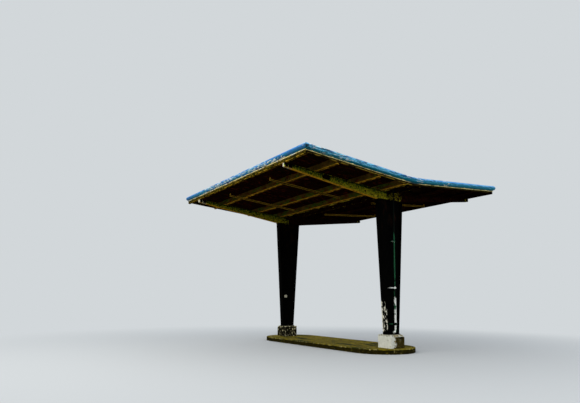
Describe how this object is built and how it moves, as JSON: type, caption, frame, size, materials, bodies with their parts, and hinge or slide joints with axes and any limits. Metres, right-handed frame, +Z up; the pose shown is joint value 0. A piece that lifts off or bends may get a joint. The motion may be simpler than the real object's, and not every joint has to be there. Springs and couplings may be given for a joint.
{
  "type": "filling station canopy",
  "caption": "Butterfly-roof filling station canopy on two tapered steel columns over a pump island, with a bent half-round metal fascia.",
  "frame": {"origin": "on the ground at the middle of the pump island, under the middle of the roof", "axes": "+X along the two columns, +Y across them up the back wing, +Z up"},
  "size_m": [8.0198, 8.1386, 5.5664],
  "materials": {
    "kerb_concrete": "worn concrete",
    "slab_concrete": "worn concrete",
    "white_pedestal_paint": "chipped white paint on concrete",
    "black_pedestal_paint": "chipped black paint on concrete",
    "black_column_paint": "aged black paint, chipped to white low down",
    "olive_cream_paint": "aged cream paint gone olive",
    "rusted_cream_paint": "cream paint rusted through",
    "purlin_paint": "aged cream paint with rust",
    "joist_timber": "weathered timber",
    "deck_timber": "dark stained planks",
    "roofing_felt": "grey mineral felt",
    "gutter_metal": "dull grey paint",
    "fascia_blue_paint": "faded blue paint, peeling",
    "trim_cream_paint": "faded cream paint",
    "rail_cream_paint": "aged cream paint",
    "pipe_paint": "green paint, chipped to white low down",
    "box_paint": "off-white paint"
  },
  "bodies": {
    "root": {"island_kerb": "kerb_concrete", "island_slab": "slab_concrete", "pedestal_left": "black_pedestal_paint", "pedestal_right": "white_pedestal_paint", "base_plate_left": "black_column_paint", "column_left": "black_column_paint", "cap_plate_left": "black_column_paint", "base_plate_right": "black_column_paint", "column_right": "black_column_paint", "cap_plate_right": "black_column_paint", "girder_left_front": "olive_cream_paint", "girder_left_back": "rusted_cream_paint", "girder_right_front": "olive_cream_paint", "girder_right_back": "rusted_cream_paint", "eave_purlin_front": "olive_cream_paint", "outer_purlin_front": "purlin_paint", "inner_purlin_front": "purlin_paint", "valley_purlin_front": "purlin_paint", "gable_joist_left_front": "joist_timber", "gable_joist_right_front": "joist_timber", "deck_front": "deck_timber", "roofing_front": "roofing_felt", "eave_purlin_back": "purlin_paint", "outer_purlin_back": "purlin_paint", "inner_purlin_back": "purlin_paint", "valley_purlin_back": "purlin_paint", "gable_joist_left_back": "joist_timber", "gable_joist_right_back": "joist_timber", "deck_back": "deck_timber", "roofing_back": "roofing_felt", "valley_gutter": "gutter_metal", "fascia_front": "fascia_blue_paint", "trim_front": "trim_cream_paint", "fascia_back": "fascia_blue_paint", "trim_back": "trim_cream_paint", "fascia_left": "fascia_blue_paint", "trim_left": "trim_cream_paint", "fascia_right": "fascia_blue_paint", "trim_right": "trim_cream_paint", "lamp_rail_left_front": "rail_cream_paint", "lamp_rail_left_back": "rail_cream_paint", "lamp_rail_right_front": "rail_cream_paint", "lamp_rail_right_back": "rail_cream_paint", "downpipe": "pipe_paint", "switch_box": "box_paint"}
  },
  "joints": []
}
